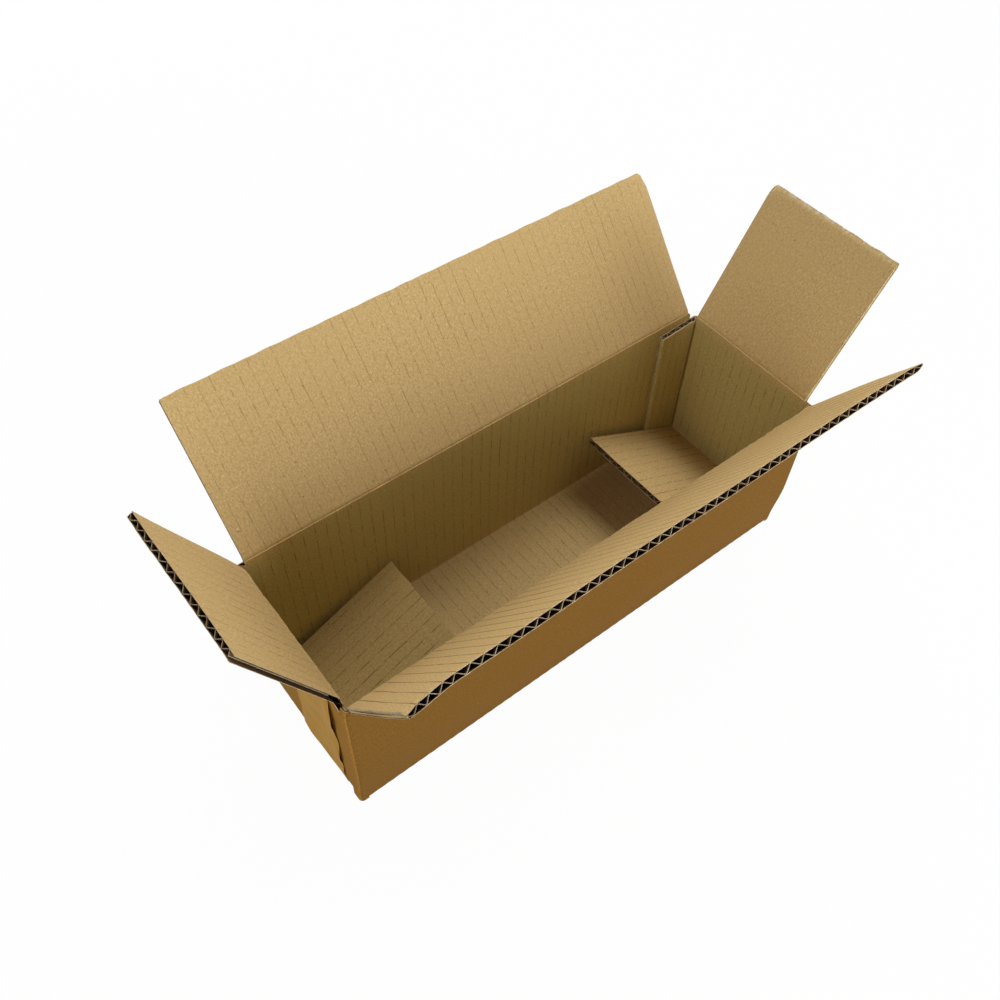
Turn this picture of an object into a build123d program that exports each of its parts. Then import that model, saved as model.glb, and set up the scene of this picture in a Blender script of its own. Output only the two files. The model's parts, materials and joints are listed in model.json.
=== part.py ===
"""Bottle shipping box of single-wall corrugated board, set up with its top flaps open.

The box is folded from one creased and glued blank. Its top flaps and its two inner bottom flaps turn on
their creases, and the long bottom flaps are closed over each other and taped.
Millimetres, +Z up, +X towards the right end, +Y towards the back wall. The origin lies under the middle of
the box, on the surface that it stands on.
"""

import os
from math import cos, radians, sin, tan

from build123d import *

# Corrugated board
board = 4.0
liner = 0.4
medium = 0.35
flute_pitch = 7.8
flute_angle = 50.0

# Box
inside_length = 360.0
inside_width = 110.0
end_crease_height = 127.0
corner_radius = 4.5
inner_corner_radius = 0.8
bottom_edge_radius = 3.0

# Flaps: how far each stays short of the wall or the tab that it closes towards
long_flap_end_clearance = 2.0
short_flap_tab_clearance = 0.5
left_flap_clearance = 2.0
top_flap_tip_clearance = 8.0
bottom_flap_tip_clearance = 7.0

# Creases: the gap at the fold, the room between closed layers and the bevels that let the board fold
crease_gap = 0.3
layer_gap = 0.15
fold_back_bevel = 30.0
fold_in_bevel = 42.0
flute_stop = 2.0

# Rest pose: lean of the top flaps from upright, and rise of the bottom flaps from the floor
front_lean = 32.5
back_lean = 41.0
left_lean = 24.5
right_lean = 28.5
left_rise = 25.0
right_rise = 28.0

# Glue tab inside the back right corner
tab_width = 31.0
tab_drop = 7.5
tab_flute_depth = 30.0

# Packing tape along the bottom and up both ends
tape_width = 48.0
tape_thickness = 0.15
tape_height = 118.0
tape_offset = -17.0
tape_bend_radius = 3.0

# Levels and lengths that follow from the sizes above
outer_length = inside_length + 2 * board
outer_width = inside_width + 2 * board
half_length = inside_length / 2
half_width = inside_width / 2
long_flap_length = inside_length - 2 * long_flap_end_clearance
short_flap_width = inside_width - 2 * (board + short_flap_tab_clearance)
left_flap_width = inside_width - 2 * left_flap_clearance
flap_depth = inside_width - top_flap_tip_clearance
bottom_flap_depth = inside_width - bottom_flap_tip_clearance
outer_floor_bottom = tape_thickness
inner_floor_bottom = outer_floor_bottom + board + layer_gap
end_wall_bottom = inner_floor_bottom + board + layer_gap
bottom_crease_height = end_wall_bottom + board
front_crease_height = end_crease_height + layer_gap
back_crease_height = front_crease_height + board + layer_gap
fold_back_rise = board / tan(radians(fold_back_bevel))
fold_in_rise = board / tan(radians(fold_in_bevel))
tab_top = back_crease_height - tab_drop


def flute_outline():
    """Hollow between one liner and the fluted sheet: a base on the liner, two flanks and a flat crest."""
    flank = radians(flute_angle)
    core = board - 2 * liner
    swing = core - medium
    crest_width = flute_pitch / 2 - swing / tan(flank)
    crest_x = crest_width / 2 - medium / 2 * tan(flank / 2)
    crest_y = core / 2 - medium
    base_x = crest_x + swing / tan(flank)
    with BuildSketch() as outline:
        Polygon((-base_x, -core / 2), (base_x, -core / 2), (crest_x, crest_y), (-crest_x, crest_y), align=None)
    return outline.sketch


def flute_mouths(plane, run_length):
    """The flutes' hollows at a cut edge that runs along the plane's x direction."""
    rows = int(run_length / flute_pitch) // 2
    with BuildSketch(plane) as mouths:
        with GridLocations(flute_pitch, 1, 2 * rows + 1, 1):
            add(flute_outline())
        with GridLocations(flute_pitch, 1, 2 * rows + 2, 1):
            add(flute_outline(), rotation=180)
    return mouths.sketch


def flap(crease, along, inner_face, width, section, depth, flute_start):
    """One flap, from its section across the crease. Along is the crease line, inner_face the face's normal."""
    crease, along, inner_face = Vector(*crease), Vector(*along), Vector(*inner_face)
    reach = inner_face.cross(along)
    middle = (max(y for x, y in section) + min(y for x, y in section)) / 2
    with BuildPart() as sheet:
        with BuildSketch(Plane(origin=crease, x_dir=reach, z_dir=along)):
            Polygon(*section, align=None)
        extrude(amount=width / 2, both=True)
        edge = Plane(origin=crease + reach * depth + inner_face * middle, x_dir=along, z_dir=-reach)
        extrude(flute_mouths(edge, width), amount=depth - flute_start, mode=Mode.SUBTRACT)
    return sheet.part


# Section of a long top flap: it turns on its inner face, and its outer face is bevelled to fold back
long_section = [
    (crease_gap, 0),
    (flap_depth, 0),
    (flap_depth, -board),
    (fold_back_rise, -board),
    (crease_gap, -crease_gap * tan(radians(fold_back_bevel))),
]

# Section of a short top flap: it turns on its outer face, and its inner face is bevelled to fold in
short_section = [
    (crease_gap, 0),
    (crease_gap, crease_gap * tan(radians(fold_in_bevel))),
    (fold_in_rise, board),
    (flap_depth, board),
    (flap_depth, 0),
]

# Section of an inner bottom flap: it turns on its upper face
bottom_section = [
    (crease_gap, 0),
    (bottom_flap_depth, 0),
    (bottom_flap_depth, -board),
    (crease_gap, -board),
]


def long_flap(side, crease_height, lean):
    """Top flap on the front wall, side -1, or on the back wall, side 1."""
    angle = radians(lean)
    return flap(
        crease=(0, side * half_width, crease_height),
        along=(side, 0, 0),
        inner_face=(0, -side * cos(angle), sin(angle)),
        width=long_flap_length,
        section=long_section,
        depth=flap_depth,
        flute_start=fold_back_rise + flute_stop,
    )


def short_flap(side, width, lean):
    """Top flap on the left end wall, side -1, or on the right end wall, side 1."""
    angle = radians(lean)
    return flap(
        crease=(side * (half_length + board), 0, end_crease_height),
        along=(0, -side, 0),
        inner_face=(-side * cos(angle), 0, sin(angle)),
        width=width,
        section=short_section,
        depth=flap_depth,
        flute_start=fold_in_rise + flute_stop,
    )


def bottom_flap(side, rise):
    """Inner bottom flap on the left end wall, side -1, or on the right end wall, side 1."""
    angle = radians(rise)
    return flap(
        crease=(side * half_length, 0, bottom_crease_height),
        along=(0, side, 0),
        inner_face=(side * sin(angle), 0, cos(angle)),
        width=short_flap_width,
        section=bottom_section,
        depth=bottom_flap_depth,
        flute_start=crease_gap + flute_stop,
    )


def long_wall(side, crease_height, floor_bottom):
    """Section of a long wall with its bottom flap, in Y and Z: side -1 for the front, 1 for the back."""
    floor_top = floor_bottom + board
    crease_edge = half_width + crease_gap * tan(radians(fold_back_bevel))
    outer_face = half_width + board
    tip = half_width - bottom_flap_depth
    corners = [
        (half_width, crease_height - crease_gap),
        (half_width, floor_top),
        (tip, floor_top),
        (tip, floor_bottom),
        (outer_face, floor_bottom),
        (outer_face, crease_height - fold_back_rise),
        (crease_edge, crease_height - crease_gap),
    ]
    with BuildSketch(Plane.YZ) as section:
        Polygon(*[(side * y, z) for y, z in corners], align=None)
        fold = section.vertices().sort_by(lambda corner: side * corner.X - corner.Y)[-1]
        fillet(fold, radius=bottom_edge_radius)
    return section.sketch


with BuildPart() as box_body:
    # End walls with the four corners
    with BuildSketch(Plane.XY.offset(end_wall_bottom)):
        RectangleRounded(outer_length, outer_width, corner_radius)
        RectangleRounded(inside_length, inside_width, inner_corner_radius, mode=Mode.SUBTRACT)
        Rectangle(long_flap_length, outer_width, mode=Mode.SUBTRACT)
    extrude(amount=end_crease_height - crease_gap - end_wall_bottom)
    lower_edges = box_body.edges().group_by(Axis.Z)[0].filter_by(Axis.Y).sort_by(Axis.X)
    fillet([lower_edges[0], lower_edges[-1]], radius=bottom_edge_radius)

    # Bevels that let the short top flaps fold in
    for side, flap_width in ((-1, left_flap_width), (1, short_flap_width)):
        outer_face = side * (half_length + board)
        inner_face = side * half_length
        with BuildSketch(Plane.XZ):
            Polygon(
                (outer_face, end_crease_height),
                (inner_face, end_crease_height),
                (inner_face, end_crease_height - fold_in_rise),
                align=None,
            )
        extrude(amount=flap_width / 2 + short_flap_tab_clearance, both=True, mode=Mode.SUBTRACT)

    # Long walls with their closed bottom flaps, the front one outside
    extrude(long_wall(-1, front_crease_height, outer_floor_bottom), amount=long_flap_length / 2, both=True)
    extrude(long_wall(1, back_crease_height, inner_floor_bottom), amount=long_flap_length / 2, both=True)

    # Glue tab, fluted at its cut top edge
    tab_middle = (half_length - tab_width / 2, half_width - board / 2)
    with BuildSketch(Plane.XY.offset(end_wall_bottom)):
        with Locations(tab_middle):
            Rectangle(tab_width, board)
    extrude(amount=tab_top - end_wall_bottom)
    tab_edge = Plane(origin=(*tab_middle, tab_top), x_dir=(1, 0, 0), z_dir=(0, 0, -1))
    extrude(flute_mouths(tab_edge, tab_width - flute_pitch), amount=tab_flute_depth, mode=Mode.SUBTRACT)

with BuildPart() as bottom_tape:
    end_face = half_length + board + tape_thickness
    floor_end = long_flap_length / 2 + tape_bend_radius
    with BuildSketch(Plane.XZ.offset(-tape_offset)):
        with BuildLine():
            FilletPolyline(
                (-end_face, tape_height),
                (-end_face, end_wall_bottom),
                (-floor_end, 0),
                (floor_end, 0),
                (end_face, end_wall_bottom),
                (end_face, tape_height),
                radius=tape_bend_radius,
            )
            offset(amount=tape_thickness, side=Side.LEFT)
        make_face()
    extrude(amount=tape_width / 2, both=True)

pieces = {
    "box_body": box_body.part,
    "bottom_tape": bottom_tape.part,
    "front_flap": long_flap(-1, front_crease_height, front_lean),
    "back_flap": long_flap(1, back_crease_height, back_lean),
    "left_flap": short_flap(-1, left_flap_width, left_lean),
    "right_flap": short_flap(1, short_flap_width, right_lean),
    "left_bottom_flap": bottom_flap(-1, left_rise),
    "right_bottom_flap": bottom_flap(1, right_rise),
}

os.makedirs("parts", exist_ok=True)
for name, piece in pieces.items():
    piece.label = name
    export_step(piece, f"parts/{name}.step")
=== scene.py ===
"""Looks of the bottle shipping box: fluted kraft board, its folds and cut edges, tape, light and camera.

Lengths are metres. A point of a board has three coordinates: u along its creases, s along its flutes and q
through its thickness, from the face that looks into the box to the face that looks out of it.
"""

import json
import math

import bmesh
import bpy
import numpy as np
from mathutils import Matrix, Vector


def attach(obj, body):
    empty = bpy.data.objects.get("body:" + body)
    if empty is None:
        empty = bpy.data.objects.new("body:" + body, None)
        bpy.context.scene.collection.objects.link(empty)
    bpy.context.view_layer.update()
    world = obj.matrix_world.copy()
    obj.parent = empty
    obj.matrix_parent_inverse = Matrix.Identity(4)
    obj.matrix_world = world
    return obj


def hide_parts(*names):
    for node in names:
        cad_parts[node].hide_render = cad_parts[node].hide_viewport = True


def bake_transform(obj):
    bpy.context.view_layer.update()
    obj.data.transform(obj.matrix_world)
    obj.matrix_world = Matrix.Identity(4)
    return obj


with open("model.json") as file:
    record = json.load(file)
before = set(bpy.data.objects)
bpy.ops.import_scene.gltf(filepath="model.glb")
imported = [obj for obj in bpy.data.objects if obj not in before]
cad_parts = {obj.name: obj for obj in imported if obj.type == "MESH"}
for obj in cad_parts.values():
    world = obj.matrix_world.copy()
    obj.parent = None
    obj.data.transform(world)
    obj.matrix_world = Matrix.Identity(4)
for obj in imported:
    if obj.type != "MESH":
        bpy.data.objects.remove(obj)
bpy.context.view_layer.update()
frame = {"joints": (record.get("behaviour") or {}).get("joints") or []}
joints = {joint["name"]: joint for joint in frame["joints"]}
mm = 0.001

# Corrugated board
board = 4.0 * mm
liner = 0.3 * mm
medium = 0.36 * mm
flute_pitch = 7.8 * mm
flute_jitter = 0.045 * flute_pitch
jitter_length = 3.1 * flute_pitch
flute_roundness = 0.3
medium_swell = 0.35
medium_setback = 0.15 * mm
washboard = 0.06 * mm
inner_overhang = 0.35 * mm
columns_per_flute = 4
medium_columns_per_flute = 12
column_room = 0.3
sharp_angle = math.radians(40)

# Cut edges: the liners' pale lips, and the crushed paper that closes a side edge
lip_width = 0.55 * mm
lip_thickness = 0.12 * mm
lip_proud = 0.04 * mm
cap_rim = 0.12 * mm
cap_recess = 0.6 * mm
cap_crown = 0.5 * mm
cap_roughness = 0.1 * mm
cap_thickness = 0.2 * mm

# Box, as the walls' inner faces, and the levels of its folds
half_length = 180.0 * mm
half_width = 55.0 * mm
long_flap_half = 178.0 * mm
short_flap_half = 50.5 * mm
left_flap_half = 53.0 * mm
flap_depth = 102.0 * mm
bottom_flap_depth = 103.0 * mm
slot_level = 126.7 * mm
front_corner_foot = 0.5 * mm
back_corner_foot = 4.7 * mm
end_wall_bottom = 8.45 * mm
outer_floor_top = 4.15 * mm
inner_floor_top = 8.3 * mm
floor_tip = 48.0 * mm
floor_half = 179.8 * mm
inner_fold_radius = 0.8 * mm
long_fold = 5.0 * mm
short_fold = 4.5 * mm
knee_weight = 2.2
wall_bulge = 0.7 * mm
wall_wave = 0.3 * mm
bulge_foot = 12 * mm
bulge_height = 105 * mm
foot_tuck = 3.4 * mm
foot_tuck_height = 45.0 * mm
foot_tuck_start = 20.0 * mm

# Flaps: the bead that the score leaves, the waves of the sheet and of its free edge, and where wear begins
bead_crest = -0.6 * mm
bead_height = 0.4 * mm
bead_width = 0.6 * mm
valley_depth = 0.18 * mm
valley_offset = 1.5 * mm
sheet_wave = 0.45 * mm
edge_wave = 0.16 * mm
end_shift_reach = 25 * mm
edge_crush_reach = 2.5 * mm

# Upright folds: the groove in the inner face, the shoulders beside it and the crushed corner tops
groove_depth = 1.5 * mm
groove_width = 1.0 * mm
groove_reach = 6 * mm
shoulder_height = 0.5 * mm
shoulder_offset = 3.4 * mm
shoulder_width = 1.3 * mm
corner_crush_height = 5 * mm
half_step = 0.02 * mm

# Glue tab, inside the back wall, and the back wall's cut end over it
tab_face = 50.9 * mm
tab_end = 149.0 * mm
tab_top = 123.8 * mm
tab_rise = 1.6 * mm
tab_fall = 1.2 * mm
tab_taper = 1.8 * mm
joint_end = 183.0 * mm
joint_drop = 2 * mm
joint_crush = 0.9
joint_crush_height = 6 * mm

# Packing tape
tape_low = -41.0 * mm
tape_high = 7.0 * mm
tape_top = 118.0 * mm
tape_thickness = 0.14 * mm
tape_face = 184.02 * mm


# Noise and shaping helpers

def bump(x, centre, width):
    """Bell curve of height one."""
    return np.exp(-(((x - centre) / width) ** 2))


def ease(x, start, end):
    """Smooth step from 0 at start to 1 at end."""
    t = np.clip((x - start) / (end - start), 0, 1)
    return t * t * (3 - 2 * t)


def ripple(x, wavelength, seed, waves=5):
    """Smooth uneven curve between about -1 and 1 that varies over the wavelength."""
    local = np.random.default_rng(seed)
    total = np.zeros_like(x, dtype=float)
    for index in range(waves):
        stretch = wavelength * local.uniform(0.6, 1.8)
        total += np.sin(x * 2 * math.pi / stretch + local.uniform(0, 2 * math.pi)) / waves ** 0.5
    return total


def fluted_columns(low, high, per_flute):
    """Columns across a board from low to high, evenly spaced on its flutes."""
    step = flute_pitch / per_flute
    inner = np.arange(math.ceil(low / step + column_room), math.floor(high / step - column_room) + 1) * step
    return np.concatenate([[low], inner, [high]])


# Mesh building

def new_object(name, data):
    """A new object in the scene."""
    thing = bpy.data.objects.new(name, data)
    bpy.context.scene.collection.objects.link(thing)
    return thing


class Shells:
    """Collects the closed shells of one piece, a material for each face and a flat place for each point."""

    def __init__(self):
        self.points = []
        self.faces = []
        self.materials = []
        self.flat = []

    def add_sheet(self, front, back, flat, front_material, back_material, edge_material):
        """A thin closed sheet between two grids of points. A material is one number, or one for each row."""
        rows, columns = front.shape[:2]
        start = len(self.points)
        for side in (front, back):
            self.points.extend(side.reshape(-1, 3).tolist())
            self.flat.extend(flat.reshape(-1, 2).tolist())
        grid = np.arange(rows * columns).reshape(rows, columns) + start
        other = grid + rows * columns
        for layer, material, flip in ((grid, front_material, False), (other, back_material, True)):
            quads = np.stack([layer[:-1, :-1], layer[1:, :-1], layer[1:, 1:], layer[:-1, 1:]], axis=-1)
            quads = quads.reshape(-1, 4)
            if flip:
                quads = quads[:, ::-1]
            self.faces.extend(quads.tolist())
            numbers = np.broadcast_to(np.reshape(material, (-1, 1)), (rows - 1, columns - 1))
            self.materials.extend(numbers.ravel().tolist())
        rim = np.concatenate([grid[0, :], grid[1:, -1], grid[-1, -2::-1], grid[-2:0:-1, 0]])
        rim_back = rim + rows * columns
        quads = np.stack([rim, np.roll(rim, -1), np.roll(rim_back, -1), rim_back], axis=-1)
        self.faces.extend(quads.tolist())
        self.materials.extend([edge_material] * len(quads))

    def build(self, name, materials):
        """One Blender object with all shells, their normals outwards."""
        mesh = bpy.data.meshes.new(name)
        mesh.from_pydata(self.points, [], self.faces)
        for material in materials:
            mesh.materials.append(material)
        mesh.polygons.foreach_set("material_index", self.materials)
        layer = mesh.uv_layers.new(name="flat_board")
        loops = np.empty(len(mesh.loops), dtype=np.int32)
        mesh.loops.foreach_get("vertex_index", loops)
        layer.data.foreach_set("uv", np.asarray(self.flat, dtype=np.float32)[loops].ravel())
        shape = bmesh.new()
        shape.from_mesh(mesh)
        bmesh.ops.recalc_face_normals(shape, faces=shape.faces)
        shape.to_mesh(mesh)
        shape.free()
        mesh.shade_smooth()
        mesh.set_sharp_from_angle(angle=sharp_angle)
        return new_object(name, mesh)


# Material numbers of a board
INNER, OUTER, CORE, EDGE, EDGE_CAP, MEDIUM_EDGE, END_OUTER = range(7)


def add_liners(shells, place, us, ss, flat, overhang=0.0, outer=OUTER):
    """Both liners of a board. place(u, s, q) gives a point, and flat(u, s) its place on the flat blank.

    The inner liner's last row reaches past the others by the overhang. outer is the outer face's material.
    """
    for depth, hidden, material, sign in ((0, liner, INNER, -1), (board, board - liner, outer, 1)):
        rows = np.array(ss, dtype=float)
        if depth == 0:
            rows[-1] += overhang
        u, s = np.meshgrid(us, rows, indexing="ij")
        blank = flat(u, s)
        wave = np.cos(2 * math.pi * blank[..., 0] / flute_pitch)
        face = place(u, s, depth - sign * washboard * (1 + sign * wave))
        back = place(u, s, np.full_like(u, hidden))
        shells.add_sheet(face, back, blank, material, CORE, EDGE)


def add_medium(shells, place, us, ss, flat, seed):
    """The fluted sheet between the liners, a little uneven from flute to flute."""
    u, s = np.meshgrid(us, ss, indexing="ij")
    blank = flat(u, s)
    along = blank[..., 0]
    jitter = flute_jitter * ripple(along, jitter_length, seed)
    swing = (board - 2 * liner - medium) / 2
    angle = 2 * math.pi * (along + jitter) / flute_pitch
    round_wave = np.cos(angle)
    pointed_wave = 1 - 2 * np.arccos(round_wave) / math.pi
    wave = (flute_roundness * round_wave + (1 - flute_roundness) * pointed_wave) * swing
    thickness = medium * (1 + medium_swell * np.abs(np.sin(angle)))
    middle = board / 2 - wave
    front = place(u, s, middle - thickness / 2)
    back = place(u, s, middle + thickness / 2)
    shells.add_sheet(front, back, blank, CORE, CORE, MEDIUM_EDGE)


def add_cap(shells, place, edge, side, ss, flat, slit=None):
    """Crushed paper that closes the side edge of a board, with the inner liner's pale lip beside it.

    slit(s) is the height of a gap that stays open along the middle of the edge.
    """
    gap = np.zeros_like(ss) if slit is None else slit(np.asarray(ss, dtype=float))
    spans = [(cap_rim, board / 2 - gap / 2), (board / 2 + gap / 2, board - cap_rim)]
    share = np.linspace(0, 1, 5)
    for low, high in spans:
        s, v = np.meshgrid(ss, share, indexing="ij")
        low = np.broadcast_to(low, np.shape(ss))[:, None]
        high = np.broadcast_to(high, np.shape(ss))[:, None]
        q = low + (high - low) * v
        proud = cap_crown * (1 - (2 * q / board - 1) ** 2) + cap_roughness * ripple(s, 9 * mm, 97)
        u = edge - side * (cap_recess - proud)
        blank = flat(u, s)
        back = place(u - side * cap_thickness, s, q)
        shells.add_sheet(place(u, s, q), back, blank, EDGE_CAP, CORE, EDGE)
    s, q = np.meshgrid(ss, np.array([0.0, lip_width]), indexing="ij")
    u = np.full_like(s, edge) + side * lip_proud
    blank = flat(u, s)
    back = place(u - side * lip_thickness, s, q)
    shells.add_sheet(place(u, s, q), back, blank, EDGE, EDGE, EDGE)


def add_lips(shells, place, us, flat):
    """Pale cut edges of both liners along the top of an end board, whose height counts as one."""
    level = 1.0004
    step = 0.0015
    for low in (0.0, board - lip_width):
        u, q = np.meshgrid(us, np.array([low, low + lip_width]), indexing="ij")
        s = np.full_like(u, level)
        blank = flat(u, s)
        shells.add_sheet(place(u, s, q), place(u, s - step, q), blank, EDGE, EDGE, EDGE)


# Boards that move: a flap with the fold that joins it to its wall

class Flap:
    """One flap at rest. The crease is a line along u through its origin; reach is where the flap points.

    half is half the flap's width, fold the reach of its fold on both sides of the crease, and axis_depth the
    hinge line's depth in the board. shape holds the bends, cuts and wear that the methods below apply.
    """

    def __init__(self, name, out, half, fold, axis_depth, seed, depth=flap_depth):
        joint = joints[name + "_hinge"]
        self.body = name + "_flap"
        self.origin = np.array(joint["pos_m"])
        self.out = np.array(out, dtype=float)
        self.up = np.array([0.0, 0.0, 1.0])
        self.along = np.abs(np.array(joint["axis"], dtype=float))
        self.half = half
        self.depth = depth
        self.fold = fold
        self.flute_start = fold + 1.0 * mm
        self.axis_depth = axis_depth
        self.seed = seed
        self.shape = {}
        self.turn_from_closed(-joint["range_deg"][0])

    def turn_from_closed(self, angle):
        """Directions of the flap, in degrees from closed. It is upright at a right angle."""
        self.lean = math.radians(angle - 90)
        self.reach = self.up * math.cos(self.lean) + self.out * math.sin(self.lean)

    def place(self, u, s, q):
        """Point of the board: the wall below the crease, a rounded fold, and the flap above it."""
        q = self.crushed(u, s, q)
        u = u + self.side_shift(u, s)
        offset = q - self.axis_depth
        corner = -offset * math.tan(self.lean / 2)
        t = np.clip((s + self.fold) / (2 * self.fold), 0, 1)
        out_amount = offset * np.ones_like(s)
        low = np.stack([out_amount, np.full_like(s, -self.fold)], axis=-1)
        knee = np.stack([out_amount, corner * np.ones_like(s)], axis=-1)
        reach_2d = np.array([math.sin(self.lean), math.cos(self.lean)])
        back_2d = np.array([math.cos(self.lean), -math.sin(self.lean)])
        high = reach_2d * self.fold + offset[..., None] * back_2d
        first, bent, last = (1 - t) ** 2, 2 * knee_weight * t * (1 - t), t ** 2
        curve = first[..., None] * low + bent[..., None] * knee + last[..., None] * high
        curve = curve / (first + bent + last)[..., None]
        beyond = np.maximum(s - self.fold, 0)[..., None] * reach_2d
        curve = curve + beyond + self.warp(u, s)[..., None] * back_2d
        curve = curve + self.bead(u, s, q)[..., None] * -back_2d
        return (
            self.origin
            + u[..., None] * self.along
            + curve[..., :1] * self.out
            + curve[..., 1:] * self.up
            + self.edge_shift(u, s)[..., None] * self.reach
        )

    def bead(self, u, s, q):
        """Ridge that the score leaves along the fold on the inner face, with a shallow valley beside it."""
        uneven = 1 + 0.3 * ripple(u, 23 * mm, self.seed + 3) + 0.3 * ripple(u, 6 * mm, self.seed + 4)
        crest = self.shape.get("bead", bead_crest)
        ridge = bead_height * uneven * bump(s, crest, bead_width)
        ridge = ridge - valley_depth * bump(s, crest + valley_offset, bead_width)
        return ridge * ease(-q, -1.2 * mm, -0.2 * mm)

    def warp(self, u, s):
        """How far the sheet bends out of its plane, towards the outside, beyond the fold."""
        free = ease(s, self.fold, self.depth)
        bend = sheet_wave * ripple(u, 190 * mm, self.seed) * free
        bend = bend + self.shape.get("bow", 0) * free
        for corner_u, reach_u, start, end, amount in self.shape.get("corners", []):
            toward = ease(np.abs(u - corner_u), reach_u, 0) * ease(s, start, end)
            bend = bend + amount * toward
        return bend

    def side_shift(self, u, s):
        """Sideways shift of the board's ends: each end's amount at the crease and at the free edge."""
        shift = np.zeros_like(u)
        for side, at_crease, at_edge in self.shape.get("ends", []):
            along = ease(s, 0, self.depth)
            toward = ease(side * u, self.half - end_shift_reach, self.half) * ease(s, -self.fold, 0)
            shift = shift + side * toward * (at_crease + (at_edge - at_crease) * along)
        return shift

    def edge_shift(self, u, s):
        """Unevenness and skew of the free edge, and corners that are rounded off."""
        shift = edge_wave * ripple(u, 17 * mm, self.seed + 9) * ease(s, self.depth * 0.8, self.depth)
        shift = shift - self.shape.get("skew", 0) * (u / self.half + 1) / 2 * np.clip(s / self.depth, 0, 1)
        for corner_u, radius in self.shape.get("rounded", []):
            inside = np.clip(radius - np.abs(u - corner_u), 0, None)
            cut = radius - np.sqrt(np.clip(radius ** 2 - inside ** 2, 0, None))
            shift = shift - cut * ease(s, self.depth * 0.5, self.depth)
        return shift

    def crushed(self, u, s, q):
        """Board depth after the crushing of its side edges and of its free edge."""
        for side, amount, width, target, start in self.shape.get("crush", []):
            distance = self.half - side * u
            share = amount * bump(distance, 0, width) * ease(s, start, start + self.fold)
            goal = target * board
            q = goal + (q - goal) * (1 - share)
        flatten = self.shape.get("edge_crush", 0) * ease(s, self.depth - edge_crush_reach, self.depth)
        return board / 2 + (q - board / 2) * (1 - flatten)

    def rows(self):
        """Rows along the flutes, close together in the fold and at the free edge."""
        fold_rows = np.concatenate([
            np.linspace(-self.fold, -3.8 * mm, 4),
            np.linspace(-3.6 * mm, 2.2 * mm, 30),
            np.linspace(2.4 * mm, self.fold, 6),
        ])
        far = np.linspace(self.fold, self.depth, 16)[1:]
        edge = self.depth - np.array([8.0, 5.0, 3.0, 1.5, 0.5]) * mm
        return np.unique(np.concatenate([fold_rows, far, edge]))

    def bend_ends(self):
        """The points before which the board follows its wall, and after which it follows the flap."""
        hold = 0.8 * self.fold
        return self.origin - hold * self.up, self.origin + hold * self.reach

    def build(self, flat, materials):
        """The flap at rest as one piece, curved through its fold at the crease; its CAD part is hidden."""
        shells = Shells()
        rows = self.rows()
        us = fluted_columns(-self.half, self.half, columns_per_flute)
        add_liners(shells, self.place, us, rows, flat, inner_overhang)
        fine = fluted_columns(self.shape.get("recess", 0) - self.half, self.half, medium_columns_per_flute)
        deep = np.linspace(self.flute_start, self.depth - medium_setback, 9)
        add_medium(shells, self.place, fine, deep, flat, self.seed)
        for side, slit in self.shape.get("caps", []):
            add_cap(shells, self.place, side * self.half, side, rows, flat, slit)
        piece = shells.build(self.body + "_board", materials)
        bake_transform(piece)
        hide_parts(self.body)


class BottomFlap(Flap):
    """An inner bottom flap, folded inwards from the foot of its end wall and sprung up from the floor."""

    def __init__(self, name, out, seed):
        super().__init__(name, out, short_flap_half, 0.9 * board, 0, seed, bottom_flap_depth)
        self.flute_start = 3.0 * mm

    def turn_from_closed(self, angle):
        """Directions of the flap, in degrees from flat on the floor."""
        self.rise = math.radians(angle)
        self.reach = -self.out * math.cos(self.rise) + self.up * math.sin(self.rise)
        self.back = -self.out * math.sin(self.rise) - self.up * math.cos(self.rise)

    def place(self, u, s, q):
        """Point of the board: an arc round the crease below it, then the flap."""
        q = self.crushed(u, s, q)
        turn = math.pi / 2 + self.rise
        angle = turn * np.clip(1 + s / self.fold, 0, 1)
        radius = q + 0.15 * mm
        arc_out = radius * np.cos(angle)
        arc_up = -radius * np.sin(angle)
        beyond = np.maximum(s, 0)
        return (
            self.origin
            + u[..., None] * self.along
            + arc_out[..., None] * self.out
            + arc_up[..., None] * self.up
            + (beyond + self.edge_shift(u, s))[..., None] * self.reach
            + self.warp(u, s)[..., None] * self.back
        )

    def rows(self):
        """Rows along the flutes, close together in the fold and at the free edge."""
        fold_rows = np.linspace(-self.fold, 0, 9)
        far = np.linspace(0, self.depth, 18)[1:]
        edge = self.depth - np.array([5.0, 3.0, 1.5, 0.5]) * mm
        return np.unique(np.concatenate([fold_rows, far, edge]))

    def bend_ends(self):
        """The same two points, on the arc round the crease."""
        return self.origin + board * self.out, self.origin + board * self.back


# Boards of the box itself: a path of inner-face corners with rounded folds

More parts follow.
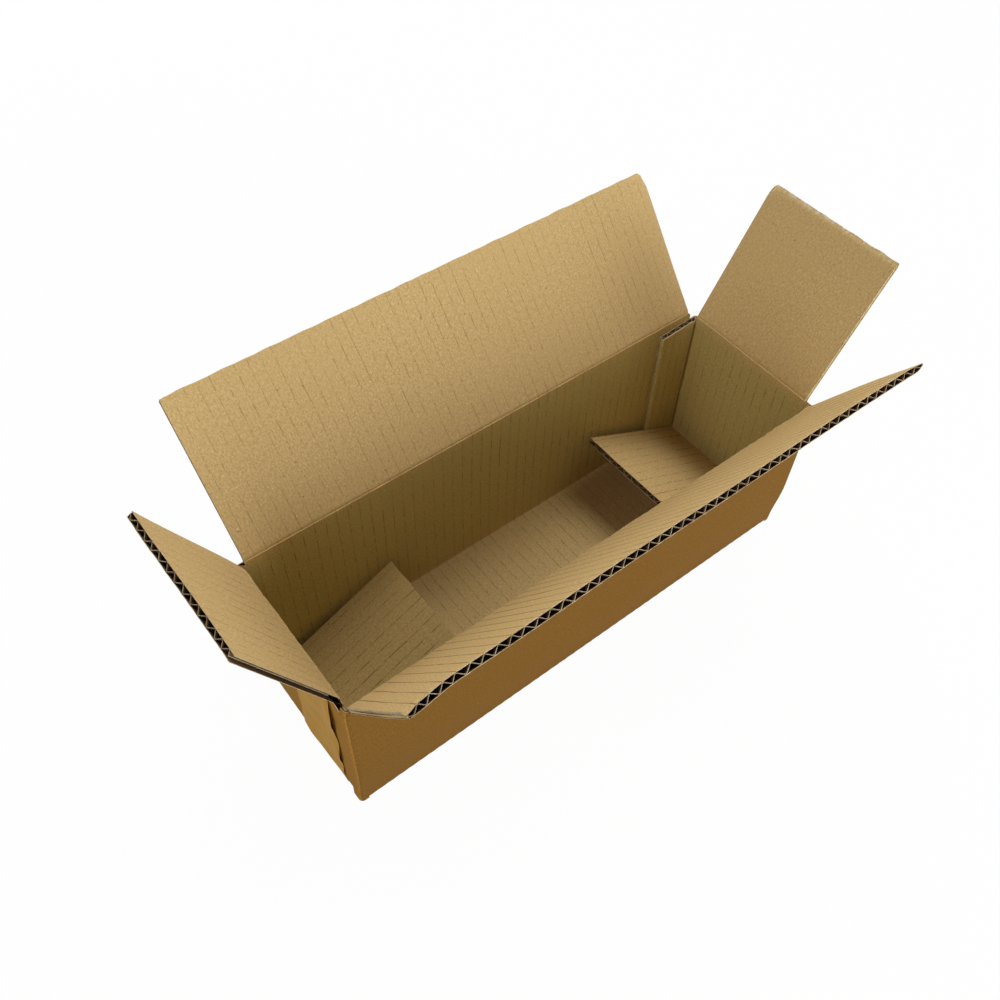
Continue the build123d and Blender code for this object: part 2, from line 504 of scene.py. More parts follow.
class FoldedPath:
    """A path of straight runs joined by right-angle folds. The board lies on the side of the first normal."""

    def __init__(self, corners, first_normal, radius=inner_fold_radius):
        corners = [np.array(corner, dtype=float) for corner in corners]
        self.radius = radius
        self.runs = []
        self.length = 0.0
        normal = np.array(first_normal, dtype=float)
        last = len(corners) - 2
        for index in range(last + 1):
            start, end = corners[index], corners[index + 1]
            direction = (end - start) / np.linalg.norm(end - start)
            begin = start + direction * (radius if index > 0 else 0)
            finish = end - direction * (radius if index < last else 0)
            run = np.linalg.norm(finish - begin)
            self.runs.append(("line", self.length, run, begin, direction, normal))
            self.length += run
            if index < last:
                arc = (radius + board / 2) * math.pi / 2
                self.runs.append(("arc", self.length, arc, finish - normal * radius, direction, normal))
                self.length += arc
                normal = direction

    def place(self, p, q):
        """Two-dimensional point at path length p and board depth q."""
        point = np.zeros(p.shape + (2,))
        for kind, begin, run, base, direction, normal in self.runs:
            last = begin + run >= self.length - 1e-9
            inside = (p >= begin - 1e-12) & ((p < begin + run) | last)
            local = (p - begin)[..., None]
            if kind == "line":
                here = base + local * direction + q[..., None] * normal
            else:
                angle = local / run * math.pi / 2
                square = 1 + 0.17 * np.sin(2 * angle) ** 2 * (q / board)[..., None]
                reach = (self.radius + q)[..., None] * square
                here = base + reach * (np.cos(angle) * normal + np.sin(angle) * direction)
            point = np.where(inside[..., None], here, point)
        return point

    def stations(self, step):
        """Path lengths with the folds cut finely and the straight runs at the given step."""
        marks = []
        for kind, begin, run, base, direction, normal in self.runs:
            count = 8 if kind == "arc" else max(2, int(run / step) + 1)
            marks.append(np.linspace(begin, begin + run, count))
        return np.unique(np.round(np.concatenate(marks), 7))


def finish_box_board(shells, name, materials):
    """Builds a board of the box body as a piece."""
    piece = shells.build(name, materials)
    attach(piece, "box")
    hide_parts("box_body")


def bulge(x, z, seed):
    """Outward swelling of a long wall, none at its folds."""
    across = np.cos(np.clip(x / half_length, -1, 1) * math.pi / 2)
    upright = np.sin(np.clip((z - bulge_foot) / bulge_height, 0, 1) * math.pi)
    return across * upright * (wall_bulge + wall_wave * ripple(x, 130 * mm, seed))


def build_long_wall(name, side, crease, floor_top, flat_x, seed, materials):
    """Front wall, side -1, or back wall, side 1, with the closed bottom flap folded from its foot."""
    top = crease - long_fold
    path = FoldedPath([(half_width, top), (half_width, floor_top), (-floor_tip, floor_top)], (1, 0))

    def place(u, s, q):
        plane = path.place(s, q)
        swell = bulge(u, plane[..., 1], seed)
        if side < 0:
            swell = swell - foot_tuck * (1 - ease(plane[..., 1], 0, foot_tuck_height))
        widen = ease(half_width - plane[..., 0], 0, 3 * mm) * (floor_half / long_flap_half - 1)
        return np.stack([u * (1 + widen), side * (plane[..., 0] + swell), plane[..., 1]], axis=-1)

    def flat(u, s):
        return np.stack([flat_x(u), top - s], axis=-1)

    shells = Shells()
    us = fluted_columns(-long_flap_half, long_flap_half, columns_per_flute)
    add_liners(shells, place, us, path.stations(7 * mm), flat)
    fine = fluted_columns(-long_flap_half, long_flap_half, medium_columns_per_flute)
    tip_rows = np.linspace(path.length - 45 * mm, path.length - medium_setback, 5)
    add_medium(shells, place, fine, tip_rows, flat, seed)
    finish_box_board(shells, name, materials)


def build_end_board(
    name, corners, first_normal, flat_start, flap_half, crushes, seed, materials, tab_from=None
):
    """End wall with its upright folds. A path length past tab_from belongs to the glue tab.

    flap_half is half the width of the wall's top flap, and crushes says how far the corner tops beside it are
    pressed flat, front and back.
    """
    path = FoldedPath(corners, first_normal)
    end_fold_top = joints["left_hinge"]["pos_m"][2] - short_fold
    end_fold_foot = joints["left_bottom_hinge"]["pos_m"][2]

    def levels(p):
        """Lowest and highest point of the board at each path length."""
        here = path.place(p, np.zeros_like(p))
        straight = np.abs(here[..., 0]) >= half_length - 1e-6
        back_foot = back_corner_foot if tab_from is None else end_wall_bottom
        foot = np.where(here[..., 1] > 0, back_foot, front_corner_foot)
        low = np.where((np.abs(here[..., 1]) <= short_flap_half) & straight, end_fold_foot, foot)
        high = np.where((np.abs(here[..., 1]) <= flap_half) & straight, end_fold_top, slot_level)
        if tab_from is not None:
            share = np.clip((p - tab_from) / (path.length - tab_from), 0, 1)
            high = np.where(p > tab_from, tab_top + tab_rise - (tab_rise + tab_fall) * share, high)
        return low, high

    folds = [begin + run / 2 for kind, begin, run, base, direction, normal in path.runs if kind == "arc"]

    def score(p, q):
        """Groove in the inner face at each upright fold, between two raised shoulders."""
        depth = np.zeros_like(p)
        for fold in folds:
            away = np.abs(p - fold)
            depth = depth + groove_depth * bump(away, 0, groove_width)
            depth = depth - shoulder_height * bump(away, shoulder_offset, shoulder_width)
        return depth * ease(-q, -1.5 * mm, -0.3 * mm)

    def place(u, s, q):
        low, high = levels(u)
        z = low + s * (high - low)
        behind = path.place(u, np.zeros_like(u))[..., 1] > 0
        crush = np.where(behind, crushes[1], crushes[0])
        crush = crush * ease(z, slot_level - corner_crush_height, slot_level)
        on_tab = np.zeros_like(u)
        if tab_from is not None:
            on_tab = np.clip((u - tab_from) / (path.length - tab_from), 0, 1)
            crush = crush * (on_tab <= 0)
        q = q + score(u, q)
        plane = path.place(u, board / 2 + (q - board / 2) * (1 - crush))
        x = plane[..., 0] + on_tab * tab_taper * (1 - z / tab_top)
        tuck = foot_tuck * (1 - ease(z, 0, foot_tuck_height))
        tuck = tuck * ease(-plane[..., 1], foot_tuck_start, half_width)
        return np.stack([x, plane[..., 1] + tuck, z], axis=-1)

    def flat(u, s):
        low, high = levels(u)
        return np.stack([flat_start + u, low + s * (high - low)], axis=-1)

    marks = path.stations(flute_pitch / columns_per_flute)
    ys = path.place(marks, np.zeros_like(marks))[..., 1]
    steps = []
    for index in range(len(marks) - 1):
        for level in (-short_flap_half, short_flap_half, -flap_half, flap_half):
            if (ys[index] - level) * (ys[index + 1] - level) < 0:
                share = (level - ys[index]) / (ys[index + 1] - ys[index])
                crossing = marks[index] + share * (marks[index + 1] - marks[index])
                steps += [crossing - half_step, crossing + half_step]
    if tab_from is not None:
        steps += [tab_from - half_step, tab_from + half_step]
    scored = np.concatenate([fold + np.linspace(-groove_reach, groove_reach, 41) for fold in folds])
    scored = scored[(scored > 0) & (scored < path.length)]
    marks = np.unique(np.concatenate([marks, steps, scored]))
    shells = Shells()
    heights = np.concatenate([np.linspace(0, 0.94, 13), [0.955, 0.97, 0.985, 1.0]])
    middles = (marks[:-1] + marks[1:]) / 2
    on_end = (middles > folds[0]) & (middles < folds[1])
    # The end walls' outer faces between the upright folds take the lighter outer material, with painted light
    add_liners(shells, place, marks, heights, flat, outer=np.where(on_end, END_OUTER, OUTER))
    zones = np.where(levels(marks)[1] > end_fold_top, 1, 0)
    if tab_from is not None:
        add_cap(shells, place, path.length, 1, np.linspace(0, 1, 30), flat)
        zones = np.where(marks > tab_from, 2, zones)
    for run in np.split(np.arange(len(marks)), np.flatnonzero(np.diff(zones)) + 1):
        if zones[run[0]] > 0:
            add_lips(shells, place, marks[run], flat)
    fine_marks = np.unique(np.concatenate([path.stations(flute_pitch / medium_columns_per_flute), steps]))
    add_medium(shells, place, fine_marks, np.linspace(0.7, 0.999, 4), flat, seed)
    finish_box_board(shells, name, materials)


def build_joint_strip(name, flat_x, seed, materials):
    """The back wall's cut end, which laps over the folded glue tab."""
    path = FoldedPath([(long_flap_half, half_width), (joint_end, half_width)], (0, 1))
    top = tab_top - joint_drop

    def place(u, s, q):
        crush = joint_crush * ease(s, top - joint_crush_height, top)
        plane = path.place(u, board / 2 + (q - board / 2) * (1 - crush))
        return np.stack([plane[..., 0], plane[..., 1], s], axis=-1)

    def flat(u, s):
        return np.stack([flat_x(long_flap_half + u), s], axis=-1)

    shells = Shells()
    marks = np.linspace(0, path.length, 5)
    fine_marks = np.linspace(0, path.length, 9)
    add_liners(shells, place, marks, np.linspace(end_wall_bottom, top, 40), flat)
    add_medium(shells, place, fine_marks, np.linspace(end_wall_bottom, top - 1.5 * mm, 20), flat, seed)
    finish_box_board(shells, name, materials)


# Packing tape

def smooth_path(points, rounds):
    """Corner cutting of a polyline, its ends kept."""
    points = np.array(points, dtype=float)
    for _ in range(rounds):
        near = points[:-1] * 0.75 + points[1:] * 0.25
        far = points[:-1] * 0.25 + points[1:] * 0.75
        inner = np.stack([near, far], axis=1).reshape(-1, 2)
        points = np.concatenate([points[:1], inner[1:-1], points[-1:]])
    return points


def build_tape(material):
    """Tape along the bottom and up both ends, with its near edge loose and wavy on the left end."""
    foot = 0.15 * mm
    flat_end = long_flap_half - 6 * mm
    upright_start = end_wall_bottom + 8 * mm
    right = [
        (flat_end, foot),
        (long_flap_half + 1.6 * mm, foot),
        (tape_face - 1.6 * mm, 4.5 * mm),
        (tape_face, end_wall_bottom + 1.0 * mm),
        (tape_face, upright_start),
    ]
    bend = smooth_path(right, 3)
    rise = np.linspace(upright_start, tape_top, 60)[1:]
    side = np.concatenate([bend, np.stack([np.full_like(rise, tape_face), rise], axis=-1)])
    bottom = np.linspace(-flat_end, flat_end, 40)[1:-1]
    left = side[::-1] * np.array([-1.0, 1.0])
    line = np.concatenate([left, np.stack([bottom, np.full_like(bottom, foot)], axis=-1), side])
    tangent = np.gradient(line, axis=0)
    tangent /= np.linalg.norm(tangent, axis=1)[:, None]
    normal = np.stack([tangent[:, 1], -tangent[:, 0]], axis=-1)
    run = np.concatenate([[0], np.cumsum(np.linalg.norm(np.diff(line, axis=0), axis=1))])
    across = tape_low + (tape_high - tape_low) * np.linspace(0, 1, 33) ** 1.3
    p, y = np.meshgrid(np.arange(len(line)), across, indexing="ij")
    x = line[p, 0]
    z = line[p, 1]
    on_left = ease(-x, half_length, half_length + board * 0.9)
    on_ends = ease(np.abs(x), half_length, half_length + board * 0.9)
    near = bump(y, tape_low, 8 * mm)

    # Lift off the board, most in two gaps under the loose edge, and sideways kinks of that edge
    wander = 0.4 * mm * ripple(run[p], 37 * mm, 31) * near
    gap = 2.4 * mm * bump(z, 96 * mm, 15 * mm) + 1.6 * mm * bump(z, 48 * mm, 10 * mm)
    lift = on_left * near * (0.2 * mm + gap)
    lift += on_ends * 0.2 * mm * (1 + ripple(z + 0.7 * y, 21 * mm, 33))
    lift += on_left * 1.4 * mm * bump(y, -3 * mm, 10 * mm) * bump(z, 13 * mm, 11 * mm)
    lift = np.maximum(lift, 0)
    kinks = 0.6 * mm * bump(z, 84 * mm, 8 * mm) - 2.0 * mm * bump(z, 64 * mm, 8 * mm)
    kinks -= 1.5 * mm * bump(z, 118 * mm, 8 * mm)
    edge = on_left * near * (kinks - 1.3 * gap)
    base = np.stack([x + normal[p, 0] * lift, y + wander + edge, z + normal[p, 1] * lift], axis=-1)
    face = base + np.stack([normal[p, 0], np.zeros_like(x), normal[p, 1]], axis=-1) * tape_thickness
    flat = np.stack([run[p], y], axis=-1)
    shells = Shells()
    shells.add_sheet(face, base, flat, 0, 0, 0)
    piece = shells.build("packing_tape", [material])
    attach(piece, "box")
    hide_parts("bottom_tape")


# Materials

class Nodes:
    """Short way to add and link shader nodes."""

    def __init__(self, owner):
        owner.use_nodes = True
        self.owner = owner
        self.tree = owner.node_tree
        self.shader = self.tree.nodes.get("Principled BSDF")

    def add(self, kind, inputs=None, **settings):
        node = self.tree.nodes.new(kind)
        for key, value in settings.items():
            setattr(node, key, value)
        for key, value in (inputs or {}).items():
            self.put(node.inputs[key], value)
        return node

    def put(self, socket, value):
        if isinstance(value, bpy.types.NodeSocket):
            self.tree.links.new(value, socket)
        else:
            socket.default_value = value

    def math(self, operation, first, second=0.0, clamp=False):
        node = self.add("ShaderNodeMath", operation=operation, use_clamp=clamp)
        self.put(node.inputs[0], first)
        self.put(node.inputs[1], second)
        return node.outputs[0]

    def times(self, first, second):
        return self.math("MULTIPLY", first, second)

    def ramp(self, value, low, high, start=0.0, end=1.0):
        node = self.add("ShaderNodeMapRange", {"Value": value, "From Min": low, "From Max": high,
                                               "To Min": start, "To Max": end})
        return node.outputs["Result"]

    def mix(self, amount, first, second, blend="MIX"):
        node = self.add("ShaderNodeMix", data_type="RGBA", blend_type=blend)
        self.put(node.inputs["Factor"], amount)
        self.put(node.inputs[6], first)
        self.put(node.inputs[7], second)
        return node.outputs[2]

    def noise(self, vector, scale, detail=2.0, roughness=0.5):
        node = self.add("ShaderNodeTexNoise", {"Vector": vector, "Scale": scale, "Detail": detail,
                                               "Roughness": roughness})
        return node.outputs["Fac"]

    def flat(self):
        """Place of the surface on the flat board."""
        return self.add("ShaderNodeUVMap", uv_map="flat_board").outputs["UV"]

    def stretch(self, vector, scale):
        return self.add("ShaderNodeMapping", {"Vector": vector, "Scale": scale}).outputs["Vector"]

    def paint(self, colour, roughness, specular):
        self.put(self.shader.inputs["Base Color"], colour)
        self.put(self.shader.inputs["Roughness"], roughness)
        self.put(self.shader.inputs["Specular IOR Level"], specular)

    def emboss(self, height, strength, distance):
        bumps = self.add("ShaderNodeBump", {"Height": height, "Strength": strength, "Distance": distance})
        self.put(self.shader.inputs["Normal"], bumps.outputs["Normal"])


def new_material(name):
    """Nodes of a new material."""
    return Nodes(bpy.data.materials.new(name))


def linear(red, green, blue):
    """Linear colour from values of 0 to 255 as seen on screen."""
    values = [channel / 255 for channel in (red, green, blue)]
    return tuple(v / 12.92 if v <= 0.04045 else ((v + 0.055) / 1.055) ** 2.4 for v in values) + (1.0,)


pale_speck = linear(242, 220, 168)
dark_speck = linear(92, 66, 34)
line_colour = linear(96, 70, 32)
rubbed_fibre = linear(236, 218, 190)
# Tint of the painted shade that makes the inner walls darker and more olive between two levels
painted_shade_tint = (0.87, 0.97, 0.85, 1)
inner_crest = 0.5
outer_crest = 0.0


def kraft_face(
    name, tones, line_strength, crest=inner_crest, broken=(0.4, 0.57), worn_edge=None, painted_shade_levels=None, specks=1.0
):
    """Kraft liner: fibres, mottling, specks and the faint lines of the flutes behind it.

    crest shifts the lines onto the crests that are glued to this face, and broken is how far they break up.
    worn_edge is the place on the blank of a free edge whose fibres are rubbed pale, and the shade levels are
    the levels on the blank between which painted shade makes the paper a little darker and more olive.
    """
    colour, dark, light = tones
    nodes = new_material(name)
    flat = nodes.flat()
    parts = nodes.add("ShaderNodeSeparateXYZ", {"Vector": flat})
    u, s = parts.outputs["X"], parts.outputs["Y"]

    # Mottling in three sizes, and short fibres drawn out along the flutes
    cloud = nodes.noise(flat, 14.0, 3.0)
    mottle = nodes.noise(flat, 850.0, 3.0, 0.7)
    grain = nodes.noise(flat, 1900.0, 2.0, 0.6)
    fibre = nodes.noise(nodes.stretch(flat, (1.0, 0.22, 1.0)), 1500.0, 3.0, 0.65)
    tone = nodes.math("ADD", nodes.times(mottle, 0.55), nodes.times(fibre, 0.45))
    body = nodes.mix(nodes.ramp(tone, 0.38, 0.62), dark, light)
    body = nodes.mix(nodes.ramp(cloud, 0.3, 0.7, 0.0, 0.4), body, colour)
    body = nodes.mix(nodes.ramp(grain, 0.5, 0.68, 0.0, 0.4), body, light)

    # Sparse specks, light and dark
    speck = nodes.add("ShaderNodeTexVoronoi", {"Vector": flat, "Scale": 210.0, "Randomness": 1.0})
    pick = nodes.add("ShaderNodeSeparateColor", {"Color": speck.outputs["Color"]})
    small = nodes.ramp(speck.outputs["Distance"], 0.08, 0.14, 1.0, 0.0)
    pale_pick = nodes.math("GREATER_THAN", pick.outputs["Red"], 0.85)
    dark_pick = nodes.math("LESS_THAN", pick.outputs["Red"], 0.08)
    pale = nodes.times(small, pale_pick)
    shade = nodes.times(small, dark_pick)
    body = nodes.mix(nodes.times(pale, 0.6 * specks), body, pale_speck)
    body = nodes.mix(nodes.times(shade, 0.55 * specks), body, dark_speck)

    # Flute lines: thin, broken and darker, one along each glued crest
    sway = nodes.ramp(nodes.noise(flat, 45.0, 1.0), 0.0, 1.0, -0.055, 0.055)
    turn = nodes.math("ADD", nodes.times(u, 1.0 / flute_pitch), crest)
    turn = nodes.math("ADD", turn, sway)
    phase = nodes.math("ABSOLUTE", nodes.math("SUBTRACT", nodes.math("FRACT", turn), 0.5))
    line = nodes.ramp(phase, 0.022, 0.055, 1.0, 0.0)
    dashes = nodes.ramp(nodes.noise(nodes.stretch(flat, (1.0, 0.35, 1.0)), 330.0, 3.0, 0.7), *broken)
    patch = nodes.ramp(nodes.noise(flat, 22.0, 2.0), 0.35, 0.65, 0.4, 1.0)
    line = nodes.times(nodes.times(line, dashes), patch)
    body = nodes.mix(nodes.times(line, line_strength), body, line_colour)

    # Painted shade on the inner walls, darker and more olive between two levels, and wear at a free edge
    if painted_shade_levels is not None:
        lower = nodes.ramp(s, painted_shade_levels[0], painted_shade_levels[0] + 15 * mm)
        upper = nodes.ramp(s, painted_shade_levels[1] - 8 * mm, painted_shade_levels[1], 1.0, 0.0)
        body = nodes.mix(nodes.times(lower, upper), body, painted_shade_tint, "MULTIPLY")
    if worn_edge is not None:
        rubbed = nodes.ramp(s, worn_edge - 2.2 * mm, worn_edge - 0.3 * mm)
        rubbed = nodes.times(rubbed, nodes.ramp(nodes.noise(flat, 300.0, 3.0, 0.7), 0.46, 0.58))
        body = nodes.mix(nodes.times(rubbed, 0.85), body, rubbed_fibre)
    nodes.paint(body, nodes.ramp(mottle, 0.3, 0.7, 0.8, 0.95), 0.12)

    # Relief of the paper and of the lines
    relief = nodes.math("ADD", tone, nodes.times(grain, 0.5))
    relief = nodes.math("SUBTRACT", relief, nodes.times(line, 0.9))
    nodes.emboss(relief, 0.3, 0.07 * mm)
    return nodes.owner


def kraft_core(name, dark, light):
    """Dull paper inside the flutes."""
    nodes = new_material(name)
    mottle = nodes.noise(nodes.flat(), 700.0, 2.0)
    nodes.paint(nodes.mix(nodes.ramp(mottle, 0.3, 0.7), dark, light), 0.9, 0.2)
    return nodes.owner


def kraft_edge(name, dark, light, patch):
    """Torn fibres along a cut edge, with duller patches."""
    nodes = new_material(name)
    flat = nodes.flat()
    mottle = nodes.noise(flat, 900.0, 3.0, 0.65)
    patches = nodes.noise(flat, 90.0, 2.0)
    body = nodes.mix(nodes.ramp(mottle, 0.35, 0.65), dark, light)
    body = nodes.mix(nodes.ramp(patches, 0.42, 0.64, 0.0, 0.5), body, patch)
    nodes.paint(body, 0.92, 0.2)
    nodes.emboss(mottle, 0.5, 0.2 * mm)
    return nodes.owner


def tape_film(name):
    """Brown packing tape, satin, with faint streaks along it."""
    nodes = new_material(name)
    flat = nodes.flat()
    streak = nodes.noise(nodes.stretch(flat, (0.06, 1.0, 1.0)), 420.0, 3.0, 0.6)
    cloud = nodes.noise(flat, 60.0, 3.0)
    body = nodes.mix(nodes.ramp(streak, 0.35, 0.65), linear(191, 141, 46), linear(206, 154, 58))
    body = nodes.mix(nodes.ramp(cloud, 0.4, 0.7, 0.0, 0.5), body, linear(216, 166, 68))
    nodes.paint(body, nodes.ramp(streak, 0.3, 0.7, 0.5, 0.62), 0.04)
    nodes.emboss(cloud, 0.25, 0.5 * mm)
    return nodes.owner


inner_tones = (linear(204, 173, 116), linear(180, 148, 92), linear(226, 197, 141))
# A darker copy of the inner kraft, with painted shade, for the left bottom flap
shaded_tones = (linear(194, 164, 106), linear(171, 141, 84), linear(215, 187, 131))
# Outer faces, darker than the inner kraft: partly a darker liner and partly painted shade
outer_tones = (linear(127, 89, 34), linear(109, 73, 24), linear(145, 106, 46))
# A lighter copy of the outer tones, with painted light, for the outer faces of the end boards and end flaps
end_painted_light_tones = (linear(170, 121, 48), linear(146, 99, 34), linear(194, 144, 64))
# A lighter copy of the inner kraft, with painted light, for the front flap and the right bottom flap
painted_light_tones = (linear(213, 181, 122), linear(189, 155, 97), linear(235, 205, 147))
end_crease = joints["left_hinge"]["pos_m"][2]
front_crease = joints["front_hinge"]["pos_m"][2]
back_crease = joints["back_hinge"]["pos_m"][2]
# Levels on the blank between which the inner walls get painted shade, from just above the floor to the crease
wall_painted_shade_levels = (6 * mm, end_crease)
back_painted_shade_levels = (6 * mm, back_crease)
inner_face = kraft_face("kraft_inner_face", inner_tones, 0.45, painted_shade_levels=back_painted_shade_levels)
wall_face = kraft_face("kraft_wall_face", inner_tones, 0.65, painted_shade_levels=wall_painted_shade_levels)
back_wall_face = kraft_face("kraft_back_wall_face", inner_tones, 0.65, painted_shade_levels=back_painted_shade_levels)
# Front flap: the lighter copy carries painted light, and its stronger, less broken flute lines are partly
# painted shade of the washboard seen at a grazing angle
lined_face = kraft_face("kraft_lined_face", painted_light_tones, 1.0, broken=(0.26, 0.42))
# Bottom flaps: painted shade on the left one and painted light on the right one
left_floor_face = kraft_face("kraft_left_bottom_face", shaded_tones, 0.8)
right_floor_face = kraft_face("kraft_right_bottom_face", painted_light_tones, 0.8)
worn_face = kraft_face(
    "kraft_worn_face", inner_tones, 0.16, worn_edge=end_crease + flap_depth, painted_shade_levels=wall_painted_shade_levels
)
# Outer faces with painted shade, and the end boards' lighter copy with painted light
outer_face = kraft_face("kraft_outer_face", outer_tones, 0.15, outer_crest, specks=0.2)
end_outer_lit_face = kraft_face("kraft_end_outer_face", end_painted_light_tones, 0.15, outer_crest, specks=0.2)
flute_hollow = kraft_core("kraft_flute_hollow", linear(140, 114, 78), linear(166, 138, 98))
# Painted shade: darker paper in the flutes of the front and left flaps, standing in for the shade deep in
# their hollows
painted_shade_hollow = kraft_core("kraft_deep_hollow", linear(100, 80, 54), linear(122, 100, 70))
cut_edge = kraft_edge("kraft_cut_edge", linear(190, 166, 126), linear(236, 218, 184), linear(166, 136, 92))
medium_edge = kraft_edge(
    "kraft_medium_edge", linear(158, 138, 110), linear(198, 180, 150), linear(138, 114, 82)
)


def board_of(face, outer=outer_face, hollow=flute_hollow):
    """Materials of a board with the given faces, in the order of the material numbers."""
    return [face, outer, hollow, cut_edge, face, medium_edge, end_outer_lit_face]


wall_materials = board_of(wall_face)
back_wall_materials = board_of(back_wall_face)
tape_material = tape_film("packing_tape_film")


# The whole box, with the places of its boards on the flat blank

back_blank = 84 * flute_pitch
left_blank = 0.6 * mm - 60 * flute_pitch
right_blank = 40 * flute_pitch
bottom_blank = -0.2


def blank_above(shift, sign, crease):
    """Place of a top flap on the flat blank."""
    return lambda u, s: np.stack([shift + sign * u, crease + s], axis=-1)


def blank_below(shift):
    """Place of a bottom flap on the flat blank."""
    return lambda u, s: np.stack([shift + u, bottom_blank - s], axis=-1)


def along_back(x):
    """Place of the back wall along the flat blank."""
    return back_blank - x


front = Flap("front", (0, -1, 0), long_flap_half, long_fold, 0, 11)
front.shape = {
    "crush": [(1, 0.7, 5 * mm, 0.2, 0.0), (-1, 0.45, 4 * mm, 0.9, flap_depth - 7 * mm)],
    "rounded": [(-long_flap_half, 1.5 * mm)],
    "corners": [
        (-long_flap_half, 30 * mm, 0, 85 * mm, 2.4 * mm),
        (long_flap_half, 60 * mm, 42 * mm, flap_depth, 0.6 * mm),
        (long_flap_half, 14 * mm, 60 * mm, flap_depth, 0.8 * mm),
    ],
    "ends": [(-1, 2 * mm, -1 * mm), (1, 2 * mm, 1 * mm)],
    "caps": [(-1, lambda s: 1.2 * mm * bump(s, 42 * mm, 30 * mm)), (1, None)],
}
front.build(blank_above(0, 1, front_crease), board_of(lined_face, hollow=painted_shade_hollow))

back = Flap("back", (0, 1, 0), long_flap_half, long_fold, 0, 23)
back.shape = {
    "corners": [(long_flap_half, 9 * mm, flap_depth - 9 * mm, flap_depth, 2 * mm)],
    "rounded": [(long_flap_half, 4 * mm), (-long_flap_half, 1.2 * mm)],
    "ends": [(1, -2.5 * mm, -0.3 * mm)],
    "caps": [(-1, None), (1, None)],
    "bow": -0.3 * mm,
    "bead": -2.0 * mm,
}
back.build(blank_above(back_blank, -1, back_crease), board_of(inner_face))

left = Flap("left", (-1, 0, 0), left_flap_half, short_fold, board, 37)
left.shape = {
    "corners": [
        (left_flap_half, 2 * left_flap_half, 0, flap_depth, 1.2 * mm),
        (-left_flap_half, 2 * left_flap_half, 0, flap_depth, -1.2 * mm),
    ],
    "ends": [(-1, -4 * mm, -3 * mm)],
    "caps": [(1, None)],
    "recess": 3 * mm,
    "bow": 1.1 * mm,
    "skew": 3.5 * mm,
}
left.build(blank_above(left_blank, 1, end_crease), board_of(wall_face, end_outer_lit_face, painted_shade_hollow))

right = Flap("right", (1, 0, 0), short_flap_half, short_fold, board, 41)
right.shape = {
    "rounded": [(short_flap_half, 2.5 * mm)],
    "corners": [(short_flap_half, 8 * mm, flap_depth - 8 * mm, flap_depth, 1 * mm)],
    "caps": [(-1, None), (1, None)],
    "edge_crush": 0.6,
}
right.build(blank_above(right_blank, 1, end_crease), board_of(worn_face, end_outer_lit_face))

left_bottom = BottomFlap("left_bottom", (-1, 0, 0), 53)
left_bottom.build(blank_below(left_blank), board_of(left_floor_face, end_outer_lit_face))
right_bottom = BottomFlap("right_bottom", (1, 0, 0), 59)
right_bottom.build(blank_below(right_blank), board_of(right_floor_face, end_outer_lit_face))

build_long_wall("front_wall_board", -1, front_crease, outer_floor_top, lambda x: x, 61, wall_materials)
build_long_wall("back_wall_board", 1, back_crease, inner_floor_top, along_back, 67, back_wall_materials)
build_end_board(
    "left_end_board",
    [(-long_flap_half, half_width), (-half_length, half_width), (-half_length, -half_width),
     (-long_flap_half, -half_width)],
    (0, 1), left_blank - half_width, left_flap_half, (0.7, 0.15), 71, wall_materials,
)
tab_fold = (half_length - long_flap_half) + (half_width + tab_face) + 3.0 * mm
build_end_board(
    "right_end_board",
    [(long_flap_half, -half_width), (half_length, -half_width), (half_length, tab_face), (tab_end, tab_face)],
    (0, -1), right_blank - half_width, short_flap_half, (0.95, 0.95), 73, wall_materials, tab_from=tab_fold,
)
build_joint_strip("joint_lap_board", along_back, 79, back_wall_materials)
build_tape(tape_material)


# Floor, light and camera. A lamp has its azimuth and elevation in degrees, its power and its size

white = (1, 1, 1, 1)
floor_grey = (0.5, 0.5, 0.5, 1)
floor_glow = 0.97
floor_reach = 6.0
floor_drop = 0.2 * mm
box_middle = Vector((0.0, 0.0, 0.08))
lamp_distance = 2.0
lamp_size = 1.0
low_lamp_size = 0.3
world_strength = 0.01
lamps = [
    ("front_lamp", -90, 12, 21, lamp_size),
    ("front_right_lamp", -45, 12, 11, lamp_size),
    ("right_high_lamp", 0, 62, 11.5, lamp_size),
    ("back_right_high_lamp", 45, 62, 10.5, lamp_size),
    ("back_lamp", 90, 12, 12, lamp_size),
    ("left_lamp", 180, 32, 7.5, lamp_size),
    ("left_low_lamp", 180, 12, 3.5, lamp_size),
    ("front_left_lamp", -135, 32, 3, lamp_size),
    ("back_low_lamp", 90, 1, 12, low_lamp_size),
]


def seen_directly(nodes):
    """One for the camera, for reflections and through glass, zero for the light that falls on the box."""
    paths = nodes.add("ShaderNodeLightPath").outputs
    seen = nodes.math("ADD", paths["Is Camera Ray"], paths["Is Glossy Ray"], clamp=True)
    return nodes.math("ADD", seen, paths["Is Transmission Ray"], clamp=True)


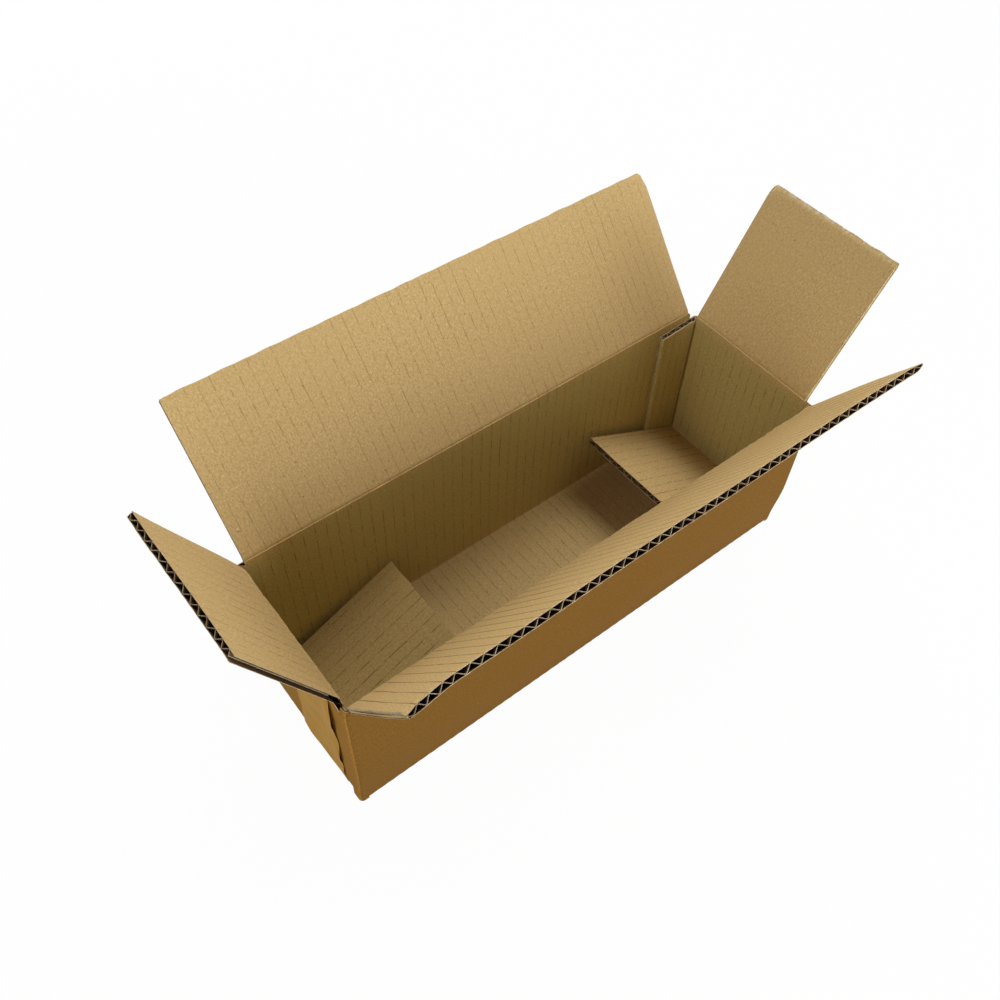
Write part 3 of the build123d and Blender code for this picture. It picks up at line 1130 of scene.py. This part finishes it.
def build_floor():
    """Pale floor: white to the camera and in reflections, with the box's shadow, and grey to the light."""
    nodes = new_material("studio_floor")
    glow = nodes.add("ShaderNodeEmission", {"Color": white, "Strength": 1.0}).outputs[0]
    seen = seen_directly(nodes)
    nodes.paint(nodes.mix(seen, floor_grey, white), 0.9, 0.0)
    blend = nodes.add("ShaderNodeMixShader")
    nodes.put(blend.inputs[0], nodes.times(seen, floor_glow))
    nodes.put(blend.inputs[1], nodes.shader.outputs[0])
    nodes.put(blend.inputs[2], glow)
    nodes.put(nodes.tree.nodes["Material Output"].inputs["Surface"], blend.outputs[0])
    corners = [(floor_reach * x, floor_reach * y, 0) for x, y in ((-1, -1), (1, -1), (1, 1), (-1, 1))]
    mesh = bpy.data.meshes.new("studio_floor")
    mesh.from_pydata(corners, [], [(0, 1, 2, 3)])
    mesh.materials.append(nodes.owner)
    floor = new_object("studio_floor", mesh)
    floor.location.z = -floor_drop


def add_lamp(name, azimuth, elevation, power, size):
    """Square soft lamp that faces the box. Azimuth counts from +X towards +Y, elevation from the floor."""
    turn, rise = math.radians(azimuth), math.radians(elevation)
    toward = Vector((math.cos(rise) * math.cos(turn), math.cos(rise) * math.sin(turn), math.sin(rise)))
    data = bpy.data.lights.new(name, "AREA")
    data.shape = "SQUARE"
    data.size = size
    data.energy = power
    lamp = new_object(name, data)
    lamp.location = box_middle + toward * lamp_distance
    lamp.rotation_mode = "QUATERNION"
    lamp.rotation_quaternion = toward.to_track_quat("Z", "Y")


def build_light():
    """White world with soft lamps round the box."""
    world = bpy.data.worlds.new("studio")
    bpy.context.scene.world = world
    nodes = Nodes(world)
    background = nodes.tree.nodes["Background"]
    background.inputs["Color"].default_value = white
    nodes.put(background.inputs["Strength"], nodes.ramp(seen_directly(nodes), 0.0, 1.0, world_strength, 1.0))
    for lamp in lamps:
        add_lamp(*lamp)


def build_camera():
    """Camera fitted to the corners of the box in the reference view."""
    data = bpy.data.cameras.new("camera")
    data.sensor_width = 36.0
    data.lens = 36.319
    data.clip_start = 0.01
    camera = new_object("camera", data)
    right = Vector((0.79051, -0.61203, 0.02256))
    down = Vector((-0.47399, -0.63472, -0.61029))
    ahead = Vector((0.38784, 0.47175, -0.79185))
    place = Vector((-0.26968, -0.28404, 0.61259))
    turn = Matrix((right, -down, -ahead)).transposed()
    camera.matrix_world = Matrix.Translation(place) @ turn.to_4x4()
    bpy.context.scene.camera = camera


build_floor()
build_light()
build_camera()
bpy.context.scene.view_settings.view_transform = "Standard"
